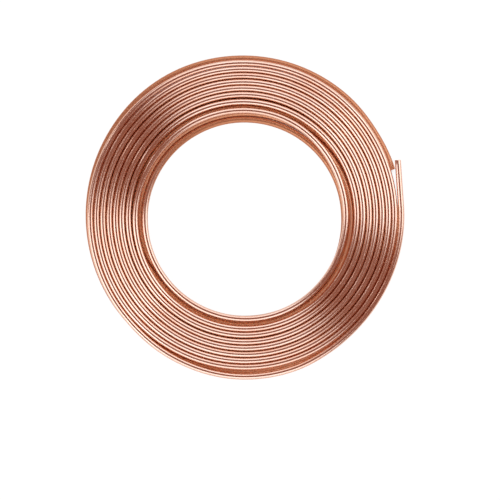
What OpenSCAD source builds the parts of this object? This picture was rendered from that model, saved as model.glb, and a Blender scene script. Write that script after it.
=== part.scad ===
// Soft copper tube wound flat in two layers, with both cut ends at the outside.
// The coil lies on its lower layer: Z is its axis, and the floor is Z = 0.
// Every half turn is turned about its own centre on the seam line, so that the
// turns run on from one to the next as a single spiral tube.

/* [Tube] */
// Outside diameter of the tube
tube_od = 6.35; // [4:0.05:10]
// Wall thickness of the tube
tube_wall = 0.76; // [0.5:0.02:1.2]

/* [Winding] */
// Diameter of the opening inside the innermost turn
coil_bore = 202; // [150:1:300]
// Turns in the lower layer, wound inwards
lower_turns = 9; // [3:1:14]
// Turns in the upper layer, wound outwards
upper_turns = 8; // [3:1:14]
// Gap between neighbouring turns of a layer
turn_gap = 0.15; // [0.1:0.05:1]
// Gap between the two layers
layer_gap = 0.15; // [0.1:0.05:1]
// Extra room beside the turn that climbs from the lower layer to the upper one
climb_room = 0.8; // [0.6:0.1:3]

/* [Ends] */
// Angle of the seam line, on which the half turns meet
seam_angle = 3; // [0:1:359]
// Extra room beside the last half turn, which leaves the winding
tail_room = 1.2; // [0.8:0.1:4]
// Length of the straight end of the upper layer, past the seam
tail_length = 48; // [20:1:60]
// Angle past the seam at which the lower layer is cut off
lower_cut_angle = 15.5; // [5:0.5:40]
// Depth of the open bore at the cut end of the lower layer
lower_bore_depth = 40; // [10:1:80]

/* [Hidden] */
$fn = 96;
// Crossings of the seam line are kept to this grid, so that half turns meet exactly
grid = 0.004;
// The tube is drawn this much thinner in radius where it climbs
climb_thinning = 0.05;
overcut = 1;
tube_r = tube_od / 2;
tube_bore_r = tube_r - tube_wall;
pitch = on_grid(tube_od + turn_gap);
lower_z = tube_r;
level_rise = tube_od + layer_gap;
upper_z = lower_z + level_rise;
climb_r = on_grid(coil_bore / 2 + tube_r);
climb_tilt = atan(level_rise / (2 * climb_r));
climb_arc_r = climb_r / cos(climb_tilt);
lower_halves = 2 * lower_turns;
upper_halves = 2 * upper_turns;
lower_outer_r = climb_r + on_grid(climb_room) + lower_turns * pitch;
lower_arc_r = lower_outer_r - pitch / 4;
lower_bore_angle = lower_bore_depth / lower_arc_r * 180 / PI;
upper_inner_r = climb_r + pitch;
copper = [0.80, 0.47, 0.33];

// Length rounded to the grid
function on_grid(length) = round(length / grid) * grid;

// Radius at which the lower layer crosses the seam line after i half turns
function lower_r(i) = i < lower_halves ? lower_outer_r - i * pitch / 2 : climb_r;

// Radius at which the upper layer crosses the seam line after i half turns
function upper_r(i) = upper_inner_r + i * pitch / 2 + (i < upper_halves ? 0 : on_grid(tail_room));

// Section turned about a centre on the seam line, between two angles
module turned(centre_x, radius, from_angle, to_angle) {
    translate([centre_x, 0, 0])
        rotate([0, 0, from_angle])
            rotate_extrude(angle = to_angle - from_angle)
                translate([radius, 0])
                    children();
}

// Half turn between two crossings of the seam line: even ones leave its near side
module half_turn(i, from_r, to_r, bar_r = tube_r) {
    side = i % 2 == 0 ? 1 : -1;
    from_angle = i % 2 * 180;
    turned(side * (from_r - to_r) / 2, (from_r + to_r) / 2, from_angle, from_angle + 180)
        circle(r = bar_r);
}

// Lower layer, wound inwards from its cut end
module lower_layer() {
    translate([0, 0, lower_z])
        difference() {
            for (i = [0 : lower_halves - 1])
                half_turn(i, lower_r(i), lower_r(i + 1));
            turned(pitch / 4, lower_arc_r, -overcut, lower_cut_angle)
                square(pitch, center = true);
            turned(pitch / 4, lower_arc_r, lower_cut_angle - overcut,
                   lower_cut_angle + lower_bore_angle)
                circle(r = tube_bore_r);
        }
}

// Innermost turn: its first half climbs, and its second closes up to the upper layer
module climbing_turn() {
    translate([0, 0, lower_z + level_rise / 2])
        rotate([0, climb_tilt, 0])
            half_turn(0, climb_arc_r, climb_arc_r, tube_r - climb_thinning);
    translate([0, 0, upper_z])
        half_turn(1, climb_r, upper_inner_r);
}

// Upper layer, wound outwards from the innermost turn
module upper_layer() {
    translate([0, 0, upper_z])
        for (i = [0 : upper_halves - 1])
            half_turn(i, upper_r(i), upper_r(i + 1));
}

// Straight open end of the upper layer
module tail() {
    translate([upper_r(upper_halves), 0, upper_z])
        rotate([-90, 0, 0])
            difference() {
                cylinder(h = tail_length, r = tube_r);
                translate([0, 0, overcut])
                    cylinder(h = tail_length, r = tube_bore_r);
            }
}

module tube_coil() {
    color(copper)
        rotate([0, 0, seam_angle]) {
            lower_layer();
            climbing_turn();
            upper_layer();
            tail();
        }
}

tube_coil();
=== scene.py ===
"""Looks of the copper tube coil: one hand-wound tube, its copper, and a plain studio."""

import logging
import math
from dataclasses import dataclass, field
from enum import Enum

import bpy
import numpy as np
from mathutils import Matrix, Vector


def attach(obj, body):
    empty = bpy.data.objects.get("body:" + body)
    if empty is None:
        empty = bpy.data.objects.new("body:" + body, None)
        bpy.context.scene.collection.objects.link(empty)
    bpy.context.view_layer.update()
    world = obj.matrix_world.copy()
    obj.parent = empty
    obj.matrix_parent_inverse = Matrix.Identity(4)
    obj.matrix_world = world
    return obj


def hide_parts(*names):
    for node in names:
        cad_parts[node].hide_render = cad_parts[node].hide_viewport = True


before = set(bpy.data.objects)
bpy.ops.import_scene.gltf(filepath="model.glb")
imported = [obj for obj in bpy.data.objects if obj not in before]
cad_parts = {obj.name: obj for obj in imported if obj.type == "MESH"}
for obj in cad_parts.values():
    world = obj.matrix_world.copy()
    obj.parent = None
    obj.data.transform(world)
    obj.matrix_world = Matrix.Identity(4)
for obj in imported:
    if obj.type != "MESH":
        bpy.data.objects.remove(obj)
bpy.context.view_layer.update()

MM = 0.001
UV_NAME = "along_tube"
HALF_TURN = 0.5
LOG = logging.getLogger("scene")
Colour = tuple[float, float, float]
Span = tuple[float, float]
Station = tuple[float, float]
Wave = tuple[float, float, float]
WHITE: Colour = (1.0, 1.0, 1.0)


class Layer(Enum):
    """Layers of the winding, by their count of tubes below."""

    LOWER = 0
    UPPER = 1


class Side(Enum):
    """Sides of the coil that a lamp stands on, by its direction in degrees."""

    RIGHT = 20.0
    BACK = 85.0
    BACK_LEFT = 148.0
    LEFT = 200.0
    FRONT = 265.0


def smooth_step(value: np.ndarray, start: float, end: float) -> np.ndarray:
    """Eased rise from 0 to 1.

    Args:
        value: Where to read the rise.
        start: Value at which it leaves 0.
        end: Value at which it reaches 1.

    Returns:
        The rise at each value.
    """
    share = np.clip((value - start) / (end - start), 0.0, 1.0)
    return share * share * (3.0 - 2.0 * share)


def curve_through(stations: tuple[Station, ...], at: np.ndarray) -> np.ndarray:
    """Smooth curve through stations that never swings past them.

    Args:
        stations: Pairs of place and value, in rising order of place.
        at: Places to read the curve at.

    Returns:
        The curve's value at each place.
    """
    place, value = np.array(stations).T
    step = np.diff(place)
    slope = np.diff(value) / step
    tangent = np.zeros(len(place))
    product = slope[:-1] * slope[1:]
    same_way = product > 0
    total = np.where(same_way, slope[:-1] + slope[1:], 1.0)
    tangent[1:-1] = np.where(same_way, 2.0 * product / total, 0.0)
    span = np.clip(np.searchsorted(place, at, side="right") - 1, 0, len(step) - 1)
    width = step[span]
    share = np.clip((at - place[span]) / width, 0.0, 1.0)
    rise = smooth_step(share, 0.0, 1.0)
    leave = share * (1.0 - share) ** 2
    arrive = -share * share * (1.0 - share)
    turn = width * (leave * tangent[span] + arrive * tangent[span + 1])
    return value[span] + rise * (value[span + 1] - value[span]) + turn


def ramp(
    tree: bpy.types.NodeTree,
    value: bpy.types.NodeSocket,
    span: Span = (0.0, 1.0),
    limits: Span = (0.0, 1.0),
) -> bpy.types.NodeSocket:
    """Adds a straight rise over a span of a value.

    Args:
        tree: Nodes to add to.
        value: Value to read.
        span: Values at which the rise begins and ends.
        limits: What the rise gives at its two ends.

    Returns:
        Socket that gives the rise.
    """
    share = tree.nodes.new("ShaderNodeMapRange")
    share.inputs["From Min"].default_value = span[0]
    share.inputs["From Max"].default_value = span[1]
    share.inputs["To Min"].default_value = limits[0]
    share.inputs["To Max"].default_value = limits[1]
    tree.links.new(value, share.inputs["Value"])
    return share.outputs["Result"]


def blend(
    tree: bpy.types.NodeTree,
    share: bpy.types.NodeSocket,
    first: Colour | bpy.types.NodeSocket,
    second: Colour | bpy.types.NodeSocket,
) -> bpy.types.NodeSocket:
    """Adds a mix of two colours.

    Args:
        tree: Nodes to add to.
        share: Share of the second colour.
        first: Colour at a share of 0, or the socket that gives it.
        second: Colour at a share of 1, or the socket that gives it.

    Returns:
        Socket that gives the mixed colour.
    """
    mix = tree.nodes.new("ShaderNodeMix")
    mix.data_type = "RGBA"
    tree.links.new(share, mix.inputs["Factor"])
    for name, colour in (("A", first), ("B", second)):
        if isinstance(colour, bpy.types.NodeSocket):
            tree.links.new(colour, mix.inputs[name])
        else:
            mix.inputs[name].default_value = (*colour, 1.0)
    return mix.outputs["Result"]


@dataclass(frozen=True)
class Grain:
    """Noise drawn out along the tube, by how many marks it has in a metre."""

    along: float
    around: float
    span: Span = (0.0, 1.0)
    detail: float = 3.0

    def socket(self, tree: bpy.types.NodeTree) -> bpy.types.NodeSocket:
        """Adds the noise to a material.

        Args:
            tree: Nodes of the material.

        Returns:
            Socket that rises from 0 to 1 over the span of the noise.
        """
        place = tree.nodes.new("ShaderNodeUVMap")
        place.uv_map = UV_NAME
        stretch = tree.nodes.new("ShaderNodeVectorMath")
        stretch.operation = "MULTIPLY"
        stretch.inputs[1].default_value = (self.along, self.around, 1.0)
        tree.links.new(place.outputs["UV"], stretch.inputs[0])
        noise = tree.nodes.new("ShaderNodeTexNoise")
        noise.noise_dimensions = "2D"
        noise.inputs["Scale"].default_value = 1.0
        noise.inputs["Detail"].default_value = self.detail
        tree.links.new(stretch.outputs["Vector"], noise.inputs["Vector"])
        return ramp(tree, noise.outputs["Fac"], self.span)


@dataclass(frozen=True)
class Copper:
    """Bright drawn copper: draw lines and streaks along the tube, nicks, uneven tarnish, and painted
    shade and bounce light.

    Heights and reaches are in millimetres.
    """

    clean: Colour = (0.89, 0.60, 0.48)
    tarnished: Colour = (0.79, 0.41, 0.28)
    # Painted shade: the lower layer is darkened where the upper layer shades it, and made rougher.
    painted_lower_shade: Colour = (0.56, 0.21, 0.10)
    lower_layer_span: Span = (10.5, 7.5)
    lower_layer_share: float = 0.95
    dull_roughness: float = 0.26
    # Painted bounce light: copper-coloured light reflected between turns, painted where other turns
    # shelter the tube.
    painted_bounce_light: Colour = (1.0, 0.58, 0.36)
    bounce_reach: float = 10.0
    bounce_span: Span = (0.45, 0.72)
    painted_light_samples: int = 4
    # Painted shade in the crevices between turns.
    painted_crevice_shade: Colour = (0.60, 0.22, 0.12)
    crevice_shade_reach: float = 1.4
    crevice_shade_span: Span = (0.2, 0.8)
    roughness: float = 0.14
    line_roughness: float = 0.14
    nick_roughness: float = 0.16
    draw_lines: Grain = Grain(along=3.0, around=2200.0, span=(0.25, 0.75))
    streaks: Grain = Grain(along=4.0, around=520.0, span=(0.40, 0.72))
    nicks: Grain = Grain(along=240.0, around=900.0, span=(0.70, 0.78), detail=1.0)
    streak_share: float = 0.6
    stain_scale: float = 17.0
    stain_detail: float = 4.0
    stain_span: Span = (0.42, 0.78)
    stain_share: float = 0.45
    bump_strength: float = 0.10
    bump_height: float = 0.1
    nick_depth: float = 1.0

    def material(self) -> bpy.types.Material:
        """Copper as a node material.

        Returns:
            The material, which reads the tube's UV map in metres.
        """
        made = bpy.data.materials.new("copper")
        made.use_nodes = True
        tree = made.node_tree
        shader = tree.nodes["Principled BSDF"]
        shader.inputs["Metallic"].default_value = 1.0
        lines = self.draw_lines.socket(tree)
        nicks = self.nicks.socket(tree)
        lower_shade_and_dullness = self._lower_shade_and_dullness(tree)
        tree.links.new(self._tone(tree, lower_shade_and_dullness), shader.inputs["Base Color"])
        lined = ramp(tree, lines, limits=(self.roughness, self.roughness + self.line_roughness))
        nicked = self._plus(tree, lined, nicks, self.nick_roughness)
        at_lower_layer = self._plus(tree, nicked, lower_shade_and_dullness, self.dull_roughness)
        tree.links.new(at_lower_layer, shader.inputs["Roughness"])
        relief = tree.nodes.new("ShaderNodeBump")
        relief.inputs["Strength"].default_value = self.bump_strength
        relief.inputs["Distance"].default_value = self.bump_height * MM
        height = self._plus(tree, lines, nicks, -self.nick_depth)
        tree.links.new(height, relief.inputs["Height"])
        tree.links.new(relief.outputs["Normal"], shader.inputs["Normal"])
        return made

    def _plus(
        self,
        tree: bpy.types.NodeTree,
        base: bpy.types.NodeSocket,
        extra: bpy.types.NodeSocket,
        weight: float,
    ) -> bpy.types.NodeSocket:
        """Adds a weighted value to another.

        Args:
            tree: Nodes of the material.
            base: Value to add to.
            extra: Value that is added.
            weight: What the added value is multiplied by.

        Returns:
            Socket that gives the sum.
        """
        total = tree.nodes.new("ShaderNodeMath")
        total.operation = "MULTIPLY_ADD"
        tree.links.new(extra, total.inputs[0])
        total.inputs[1].default_value = weight
        tree.links.new(base, total.inputs[2])
        return total.outputs["Value"]

    def _lower_shade_and_dullness(self, tree: bpy.types.NodeTree) -> bpy.types.NodeSocket:
        """Share of the painted shade on the lower layer and of its extra roughness, set by height
        above the floor.

        Args:
            tree: Nodes of the material.

        Returns:
            Socket that gives 0 on the upper layer and lower_layer_share on the lower one.
        """
        place = tree.nodes.new("ShaderNodeTexCoord")
        parts = tree.nodes.new("ShaderNodeSeparateXYZ")
        tree.links.new(place.outputs["Object"], parts.inputs["Vector"])
        upper_height, at_lower_layer = self.lower_layer_span
        return ramp(tree, parts.outputs["Z"], (upper_height * MM, at_lower_layer * MM), (0.0, self.lower_layer_share))

    def _tone(self, tree: bpy.types.NodeTree, lower_shade_and_dullness: bpy.types.NodeSocket) -> bpy.types.NodeSocket:
        """Colour of the copper.

        Args:
            tree: Nodes of the material.
            lower_shade_and_dullness: Share of the painted shade and extra roughness on the lower
                layer.

        Returns:
            Socket that gives the colour: tarnished in patches and streaks, with painted shade on the
                lower layer,
            painted bounce light where other turns shelter it, and painted shade in crevices.
        """
        streaks = self.streaks.socket(tree)
        tarnish = self._plus(tree, self._stains(tree), streaks, self.streak_share)
        tone = blend(tree, tarnish, self.clean, self.tarnished)
        # Painted shade on the lower layer, where the upper layer shades it.
        tone = blend(tree, lower_shade_and_dullness, tone, self.painted_lower_shade)
        # Painted bounce light where turns shelter the tube, then painted shade in crevices.
        painted_light = (
            (self.painted_bounce_light, self.bounce_reach, self.bounce_span),
            (self.painted_crevice_shade, self.crevice_shade_reach, self.crevice_shade_span),
        )
        for colour, reach, span in painted_light:
            tone = blend(tree, self._openness(tree, reach, span), colour, tone)
        return tone

    def _openness(self, tree: bpy.types.NodeTree, reach: float, span: Span) -> bpy.types.NodeSocket:
        """How open the surface is, which sets where the painted bounce light and the painted crevice
        shade go.

        Args:
            tree: Nodes of the material.
            reach: How far off a turn still shelters it.
            span: Open shares of the view up to which it is sheltered and from which it is open.

        Returns:
            Socket that gives 0 where the surface is sheltered and 1 in the open.
        """
        space = tree.nodes.new("ShaderNodeAmbientOcclusion")
        space.samples = self.painted_light_samples
        space.inputs["Distance"].default_value = reach * MM
        return ramp(tree, space.outputs["AO"], span)

    def _stains(self, tree: bpy.types.NodeTree) -> bpy.types.NodeSocket:
        """Patches where the copper has begun to tarnish.

        Args:
            tree: Nodes of the material.

        Returns:
            Socket that gives the tarnish from 0 to stain_share.
        """
        place = tree.nodes.new("ShaderNodeTexCoord")
        noise = tree.nodes.new("ShaderNodeTexNoise")
        noise.inputs["Scale"].default_value = self.stain_scale
        noise.inputs["Detail"].default_value = self.stain_detail
        tree.links.new(place.outputs["Object"], noise.inputs["Vector"])
        return ramp(tree, noise.outputs["Fac"], self.stain_span, (0.0, self.stain_share))


@dataclass
class Winding:
    """Centre line of the tube, from the lower cut end to the tip of the upper one.

    Lengths are in millimetres. A turn is counted from the seam line, on which the
    lower layer begins, and the tube runs inwards below and outwards above. Spans
    are in turns. A departure moves the tube outwards at one turn, a sway does so to
    every lower turn at one share of a turn, and a lift raises the tube at one turn.
    A wave has its size, its rate and its start.
    """

    tube_radius: float = 3.175
    gap: float = 0.15
    climb_radius: float = 104.176
    climb_room: float = 0.8
    lower_pitch: float = 6.37
    seam_angle: float = 3.0
    lower_turns: int = 9
    upper_turns: int = 8
    first_turn: float = 0.0405
    tail_length: float = 50.4
    tail_heading: float = 94.0
    rings_per_turn: int = 150
    tail_rings: int = 9
    climb_span: Span = (9.27, 9.60)
    sway_begins: Span = (0.8, 1.2)
    sway_ends: Span = (8.9, 9.05)
    oval: float = 1.5
    oval_begins: Span = (10.5, 12.2)
    oval_ends: Span = (17.32, 17.5)
    unevenness: float = 0.04
    waves: tuple[Wave, ...] = ((1.0, 9.1, 0.4), (0.6, 23.7, 2.1))

    departures: tuple[Station, ...] = (
        (0.0, -0.8),
        (0.075, -0.7),
        (0.13, 1.4),
        (0.24, 3.5),
        (0.325, 4.6),
        (0.42, 3.1),
        (0.50, 2.4),
        (0.742, 3.5),
        (0.92, 2.5),
        (0.99, 2.2),
        (1.04, 0.15),
        (1.08, 0.0),
        (8.00, 0.0),
        (8.50, 0.0),
        (8.75, 0.3),
        (8.88, 0.7),
        (8.95, 0.6),
        (9.00, 0.2),
        (9.25, -2.7),
        (9.31, -2.7),
        (9.38, -2.2),
        (9.50, -0.8),
        (9.75, -1.1),
        (10.03, -4.9),
        (10.20, -1.7),
        (10.34, -2.0),
        (10.50, -0.7),
        (10.75, 1.25),
        (11.00, 0.0),
        (11.90, 0.0),
        (12.30, 0.25),
        (14.60, 0.3),
        (15.10, 0.5),
        (17.30, 0.5),
        (17.50, 0.5),
        (17.60, 1.0),
        (17.66, 3.2),
        (17.742, 5.4),
        (17.79, 4.9),
        (17.83, 2.9),
        (17.87, 1.4),
        (17.92, 0.7),
        (18.00, 0.9),
    )
    sways: tuple[Station, ...] = (
        (0.00, 0.0),
        (0.24, -1.9),
        (0.48, 0.3),
        (0.535, 0.6),
        (0.59, -2.3),
        (0.64, -1.7),
        (0.69, -0.8),
        (0.75, 0.0),
        (0.88, 1.3),
        (1.00, 0.0),
    )
    lifts: tuple[Station, ...] = (
        (7.58, 0.0),
        (7.74, 1.2),
        (7.90, 1.2),
        (7.97, 2.0),
        (8.03, 2.0),
        (8.10, 0.2),
        (8.14, 0.0),
    )

    @property
    def pitch(self) -> float:
        """Distance from tube to tube, side by side or one above the other."""
        return 2.0 * self.tube_radius + self.gap

    @property
    def last_turn(self) -> int:
        """Turn at which the straight tail begins."""
        return self.lower_turns + 1 + self.upper_turns

    def angle(self, turn: np.ndarray) -> np.ndarray:
        """Direction of the tube from the coil's axis, in radians."""
        return math.radians(self.seam_angle) + turn * math.tau

    def radius(self, turn: np.ndarray) -> np.ndarray:
        """Distance of the tube from the coil's axis.

        Args:
            turn: Turns since the seam line.

        Returns:
            The radius at each turn.
        """
        inner = self.lower_turns
        lower_outer = self.climb_radius + self.climb_room + inner * self.pitch
        lower_inner = lower_outer - (inner - HALF_TURN) * self.pitch
        upper_inner = self.climb_radius + self.pitch
        spiral = [
            (0.0, lower_outer),
            (1.0, lower_inner + (inner - HALF_TURN - 1.0) * self.lower_pitch),
            (inner - HALF_TURN, lower_inner),
            (float(inner), self.climb_radius),
            (inner + HALF_TURN, self.climb_radius),
            (inner + 1.0, upper_inner),
            (float(self.last_turn), upper_inner + self.upper_turns * self.pitch),
        ]
        even = np.interp(turn, *np.array(spiral).T)
        below = smooth_step(turn, *self.sway_begins) * (1.0 - smooth_step(turn, *self.sway_ends))
        sway = below * curve_through(self.sways, turn % 1.0)
        stretched = smooth_step(turn, *self.oval_begins) * (1.0 - smooth_step(turn, *self.oval_ends))
        oval = self.oval * stretched * np.sin(self.angle(turn)) ** 2
        wander = sum(size * np.sin(turn * rate + start) for size, rate, start in self.waves)
        wander *= self.unevenness * (1.0 - below)
        return even + curve_through(self.departures, turn) + oval + sway + wander

    def height(self, turn: np.ndarray) -> np.ndarray:
        """Height of the tube's centre above the floor.

        Args:
            turn: Turns since the seam line.

        Returns:
            The height at each turn.
        """
        climbed = smooth_step(turn, *self.climb_span)
        levels = Layer.LOWER.value + climbed * (Layer.UPPER.value - Layer.LOWER.value)
        return self.tube_radius + levels * self.pitch + curve_through(self.lifts, turn)

    def centre_line(self) -> np.ndarray:
        """Points along the tube's centre, from end to end.

        Returns:
            Rows of x, y and z in metres.
        """
        count = round((self.last_turn - self.first_turn) * self.rings_per_turn)
        turn = np.linspace(self.first_turn, self.last_turn, count)
        angle = self.angle(turn)
        radius = self.radius(turn)
        wound = np.column_stack((radius * np.cos(angle), radius * np.sin(angle), self.height(turn)))
        heading = math.radians(self.tail_heading)
        step = np.linspace(0.0, self.tail_length, self.tail_rings)[1:, None]
        tail = wound[-1] + step * np.array([math.cos(heading), math.sin(heading), 0.0])
        return np.vstack((wound, tail)) * MM


@dataclass
class TubeCoil:
    """The whole tube as one swept skin, with an open bore at each cut end.

    Lengths are in millimetres.
    """

    copper: Copper
    winding: Winding = field(default_factory=Winding)
    wall: float = 0.76
    sides: int = 24
    bore_depth: float = 45.0
    bore_rings: int = 9
    rolled_edge: float = 0.28
    edge_depth: float = 0.5
    edge_shoulder: Span = (0.3, 0.35)
    edge_clearance: float = 1.5
    burr: float = 0.1
    sharp_angle: float = 40.0

    def build(self) -> bpy.types.Object:
        """Makes the tube and dresses it.

        Returns:
            The tube, riding on the part's body in the place of its solid.
        """
        mesh = self._skin()
        mesh.materials.append(self.copper.material())
        piece = bpy.data.objects.new("tube", mesh)
        bpy.context.scene.collection.objects.link(piece)
        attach(piece, "root")
        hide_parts("tube_coil")
        return piece

    def _mouth(self) -> list[Station]:
        """Rings at a cut end.

        Returns:
            Depth and radius of each ring, from deep in the bore to the outside.
        """
        outer = self.winding.tube_radius
        bore = outer - self.wall
        depths = np.linspace(self.bore_depth, self.edge_depth, self.bore_rings)
        shoulder_depth, shoulder_drop = self.edge_shoulder
        edge = [
            (self.burr, bore),
            (0.0, bore + self.burr),
            (0.0, outer - self.rolled_edge),
            (shoulder_depth * self.edge_depth, outer - shoulder_drop * self.rolled_edge),
            (self.edge_depth, outer),
        ]
        return [(depth, bore) for depth in depths] + edge

    def _rings(self, along: np.ndarray) -> tuple[np.ndarray, np.ndarray]:
        """Places of the skin's rings, from the bottom of one bore to that of the other.

        Args:
            along: Length of tube up to each point of the centre line, in metres.

        Returns:
            The distance along the tube and the radius of each ring, in metres.
        """
        mouth = np.array(self._mouth()) * MM
        clear = mouth[-1, 0] * self.edge_clearance
        between = along[(along > clear) & (along < along[-1] - clear)]
        place = np.concatenate((mouth[:, 0], between, along[-1] - mouth[::-1, 0]))
        outside = np.full(len(between), self.winding.tube_radius * MM)
        return place, np.concatenate((mouth[:, 1], outside, mouth[::-1, 1]))

    def _skin(self) -> bpy.types.Mesh:
        """Sweeps the rings along the centre line.

        Returns:
            The mesh, with a UV map in metres along and around the tube.
        """
        line = self.winding.centre_line()
        along = np.concatenate(([0.0], np.cumsum(np.linalg.norm(np.diff(line, axis=0), axis=1))))
        place, radius = self._rings(along)
        centre = np.column_stack([np.interp(place, along, line[:, axis]) for axis in range(3)])
        heading = np.column_stack(
            [np.interp(place, along, np.gradient(line[:, axis], along)) for axis in range(3)]
        )
        heading /= np.linalg.norm(heading, axis=1)[:, None]
        across = np.cross(heading, (0.0, 0.0, 1.0))
        across /= np.linalg.norm(across, axis=1)[:, None]
        upward = np.cross(across, heading)
        around = np.linspace(0.0, math.tau, self.sides, endpoint=False)
        spokes = (
            across[:, None, :] * np.cos(around)[None, :, None]
            + upward[:, None, :] * np.sin(around)[None, :, None]
        )
        skin = centre[:, None, :] + radius[:, None, None] * spokes
        points = np.vstack((skin.reshape(-1, 3), centre[:1], centre[-1:]))
        mesh = bpy.data.meshes.new("tube")
        mesh.from_pydata(points.tolist(), [], self._faces(len(place)))
        self._unwrap(mesh, place)
        mesh.shade_smooth()
        mesh.set_sharp_from_angle(angle=math.radians(self.sharp_angle))
        mesh.validate()
        return mesh

    def _faces(self, rings: int) -> list[tuple[int, ...]]:
        """Corners of the skin's faces.

        Args:
            rings: How many rings the skin has.

        Returns:
            Quads between the rings, and a fan at the bottom of each bore.
        """
        faces: list[tuple[int, ...]] = []
        for ring in range(rings - 1):
            start = ring * self.sides
            for side in range(self.sides):
                after = (side + 1) % self.sides
                corners = (side, self.sides + side, self.sides + after, after)
                faces.append(tuple(start + corner for corner in corners))
        last = (rings - 1) * self.sides
        floor = rings * self.sides
        for side in range(self.sides):
            after = (side + 1) % self.sides
            faces.append((floor, side, after))
            faces.append((floor + 1, last + after, last + side))
        return faces

    def _unwrap(self, mesh: bpy.types.Mesh, place: np.ndarray) -> None:
        """Adds the UV map.

        Args:
            mesh: The swept skin.
            place: Distance along the tube of each ring.
        """
        layer = mesh.uv_layers.new(name=UV_NAME)
        girth = math.tau * self.winding.tube_radius * MM
        quads = np.zeros((len(place) - 1, self.sides, 4, 2))
        side = np.arange(self.sides) / self.sides * girth
        after = side + girth / self.sides
        quads[:, :, (0, 3), 0] = place[:-1, None, None]
        quads[:, :, (1, 2), 0] = place[1:, None, None]
        quads[:, :, (0, 1), 1] = side[None, :, None]
        quads[:, :, (2, 3), 1] = after[None, :, None]
        fans = np.zeros((2 * self.sides * 3, 2))
        layer.uv.foreach_set("vector", np.concatenate((quads.reshape(-1), fans.reshape(-1))))


@dataclass
class LampBank:
    """A long soft lamp beside the coil, turned towards it, with its sizes in metres."""

    side: Side
    length: float
    brightness: float
    distance: float = 0.86
    height: float = 0.62
    width: float = 0.92
    tint: Colour = (0.80, 1.0, 1.10)

    def build(self) -> bpy.types.Object:
        """Makes the lamp.

        Returns:
            The lamp, which isn't seen directly.
        """
        lamp = bpy.data.lights.new(f"bank_{self.side.name.lower()}", "AREA")
        lamp.shape = "RECTANGLE"
        lamp.size = self.length
        lamp.size_y = self.width
        lamp.color = self.tint
        lamp.energy = self.brightness * math.pi * self.length * self.width
        made = bpy.data.objects.new(lamp.name, lamp)
        away = math.radians(self.side.value)
        made.location = (self.distance * math.cos(away), self.distance * math.sin(away), self.height)
        made.rotation_euler = (-Vector(made.location)).to_track_quat("-Z", "Y").to_euler()
        made.visible_camera = False
        bpy.context.scene.collection.objects.link(made)
        return made


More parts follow.
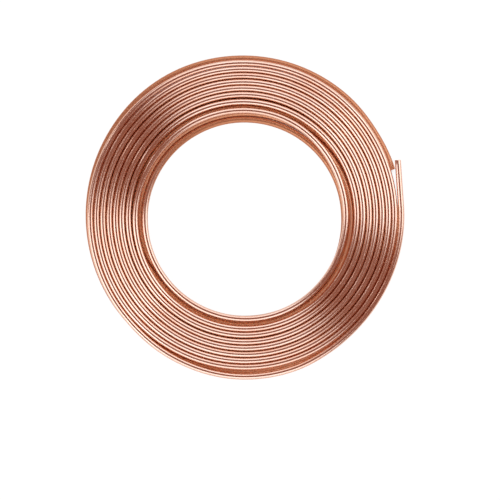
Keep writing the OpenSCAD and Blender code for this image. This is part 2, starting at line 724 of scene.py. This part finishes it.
@dataclass
class Studio:
    """White floor, soft lamps, a dim warm ceiling, and the camera straight above.

    Lengths are in metres, and the camera's sensor is in millimetres.
    """

    floor_size: float = 8.0
    floor_paint: Colour = (0.80, 0.80, 0.80)
    floor_shaded: Colour = (0.10, 0.08, 0.072)
    floor_glow: float = 0.96
    shadow_tone: Colour = (0.22, 0.09, 0.05)
    shadow_reach: float = 0.02
    shadow_span: Span = (0.05, 0.24)
    mirrored_span: Span = (0.45, 0.95)
    ceiling_glow: float = 0.28
    ceiling_tint: Colour = (1.0, 0.44, 0.31)
    ceiling_height: float = 2.4
    ceiling_size: float = 48.0
    strong_light: float = 1.9
    strong_length: float = 0.84
    back_light: float = 1.4
    front_light: float = 1.6
    mild_length: float = 1.4
    strip_light: float = 2.6
    strip_length: float = 0.10
    strip_height: float = 0.50
    strip_width: float = 0.22
    camera_height: float = 1.6
    camera_offset: tuple[float, float] = (0.0062, -0.0347)
    view_width: float = 0.5188
    view_level: float = 0.0128
    sensor: float = 36.0

    def build(self) -> None:
        """Sets up everything round the coil."""
        self._floor()
        self._ceiling()
        self._world()
        for side in (Side.RIGHT, Side.LEFT):
            LampBank(side, self.strong_length, self.strong_light).build()
        for side, brightness in ((Side.BACK, self.back_light), (Side.FRONT, self.front_light)):
            LampBank(side, self.mild_length, brightness).build()
        LampBank(
            Side.BACK_LEFT,
            self.strip_length,
            self.strip_light,
            height=self.strip_height,
            width=self.strip_width,
        ).build()
        self._camera()

    def _seen(self, tree: bpy.types.NodeTree) -> bpy.types.NodeSocket:
        """Tells rays that show the surroundings from rays that light the coil.

        Args:
            tree: Nodes to add to.

        Returns:
            Socket that is 1 for camera, glossy and transmission rays.
        """
        ray = tree.nodes.new("ShaderNodeLightPath")
        total = ray.outputs["Is Camera Ray"]
        for name in ("Is Glossy Ray", "Is Transmission Ray"):
            either = tree.nodes.new("ShaderNodeMath")
            either.operation = "MAXIMUM"
            tree.links.new(total, either.inputs[0])
            tree.links.new(ray.outputs[name], either.inputs[1])
            total = either.outputs["Value"]
        return total

    def _unshadowed(self, tree: bpy.types.NodeTree) -> bpy.types.NodeSocket:
        """Colour of the floor's glow, which is mirrored with a wider shadow than it shows.

        Args:
            tree: Nodes to add to.

        Returns:
            Socket that gives white in the open and shadow_tone under the coil.
        """
        space = tree.nodes.new("ShaderNodeAmbientOcclusion")
        space.inputs["Distance"].default_value = self.shadow_reach
        ray = tree.nodes.new("ShaderNodeLightPath")
        level = tree.nodes.new("ShaderNodeMix")
        tree.links.new(ray.outputs["Is Camera Ray"], level.inputs["Factor"])
        for name, span in (("A", self.mirrored_span), ("B", self.shadow_span)):
            tree.links.new(ramp(tree, space.outputs["AO"], span), level.inputs[name])
        return blend(tree, level.outputs["Result"], self.shadow_tone, WHITE)

    def _sheet(self, name: str, size: float, height: float) -> bpy.types.Object:
        """Makes a level square round the coil's axis.

        Args:
            name: Name of the square and of its material.
            size: Length of its sides.
            height: Height above the floor.

        Returns:
            The square, with an empty node material.
        """
        half = size / 2
        corners = [(-half, -half), (half, -half), (half, half), (-half, half)]
        mesh = bpy.data.meshes.new(name)
        mesh.from_pydata([(*corner, height) for corner in corners], [], [(0, 1, 2, 3)])
        paint = bpy.data.materials.new(name)
        paint.use_nodes = True
        paint.node_tree.nodes.clear()
        mesh.materials.append(paint)
        sheet = bpy.data.objects.new(name, mesh)
        bpy.context.scene.collection.objects.link(sheet)
        return sheet

    def _floor(self) -> bpy.types.Object:
        """Lays the floor.

        Returns:
            The floor, which shows white and keeps a faint shadow.
        """
        floor = self._sheet("floor", self.floor_size, 0.0)
        tree = floor.active_material.node_tree
        plain = tree.nodes.new("ShaderNodeBsdfDiffuse")
        plain.inputs["Color"].default_value = (*self.floor_paint, 1.0)
        shaded = tree.nodes.new("ShaderNodeBsdfDiffuse")
        shaded.inputs["Color"].default_value = (*self.floor_shaded, 1.0)
        glow = tree.nodes.new("ShaderNodeEmission")
        glow.inputs["Strength"].default_value = self.floor_glow
        tree.links.new(self._unshadowed(tree), glow.inputs["Color"])
        shown = tree.nodes.new("ShaderNodeAddShader")
        tree.links.new(shaded.outputs["BSDF"], shown.inputs[0])
        tree.links.new(glow.outputs["Emission"], shown.inputs[1])
        choice = tree.nodes.new("ShaderNodeMixShader")
        tree.links.new(self._seen(tree), choice.inputs["Fac"])
        tree.links.new(plain.outputs["BSDF"], choice.inputs[1])
        tree.links.new(shown.outputs["Shader"], choice.inputs[2])
        out = tree.nodes.new("ShaderNodeOutputMaterial")
        tree.links.new(choice.outputs["Shader"], out.inputs["Surface"])
        return floor

    def _ceiling(self) -> bpy.types.Object:
        """Hangs the ceiling above the camera.

        Returns:
            The ceiling, which the copper mirrors and the camera doesn't see.
        """
        ceiling = self._sheet("ceiling", self.ceiling_size, self.ceiling_height)
        ceiling.visible_camera = False
        tree = ceiling.active_material.node_tree
        glow = tree.nodes.new("ShaderNodeEmission")
        glow.inputs["Color"].default_value = (*self.ceiling_tint, 1.0)
        glow.inputs["Strength"].default_value = self.ceiling_glow
        out = tree.nodes.new("ShaderNodeOutputMaterial")
        tree.links.new(glow.outputs["Emission"], out.inputs["Surface"])
        return ceiling

    def _world(self) -> None:
        """Shows white behind the coil, and lights the floor as dimly as the ceiling does."""
        world = bpy.data.worlds.new("studio")
        world.use_nodes = True
        tree = world.node_tree
        dim = tuple(self.ceiling_glow * part for part in self.ceiling_tint)
        white = tuple(self.floor_glow * part for part in WHITE)
        shade = blend(tree, self._seen(tree), dim, white)
        tree.links.new(shade, tree.nodes["Background"].inputs["Color"])
        bpy.context.scene.world = world

    def _camera(self) -> bpy.types.Object:
        """Hangs the camera.

        Returns:
            The camera, looking straight down.
        """
        lens = bpy.data.cameras.new("camera")
        lens.sensor_width = self.sensor
        lens.lens = self.sensor * (self.camera_height - self.view_level) / self.view_width
        made = bpy.data.objects.new("camera", lens)
        made.location = (*self.camera_offset, self.camera_height)
        bpy.context.scene.collection.objects.link(made)
        bpy.context.scene.camera = made
        return made


def main() -> None:
    """Builds the coil and its studio."""
    logging.basicConfig(level=logging.INFO, format="%(name)s: %(message)s")
    bpy.context.scene.view_settings.view_transform = "Standard"
    coil = TubeCoil(Copper()).build()
    LOG.info("%s: %d faces", coil.name, len(coil.data.polygons))
    Studio().build()
    LOG.info("studio: floor, ceiling, lamps and camera")


if __name__ == "__main__":
    main()
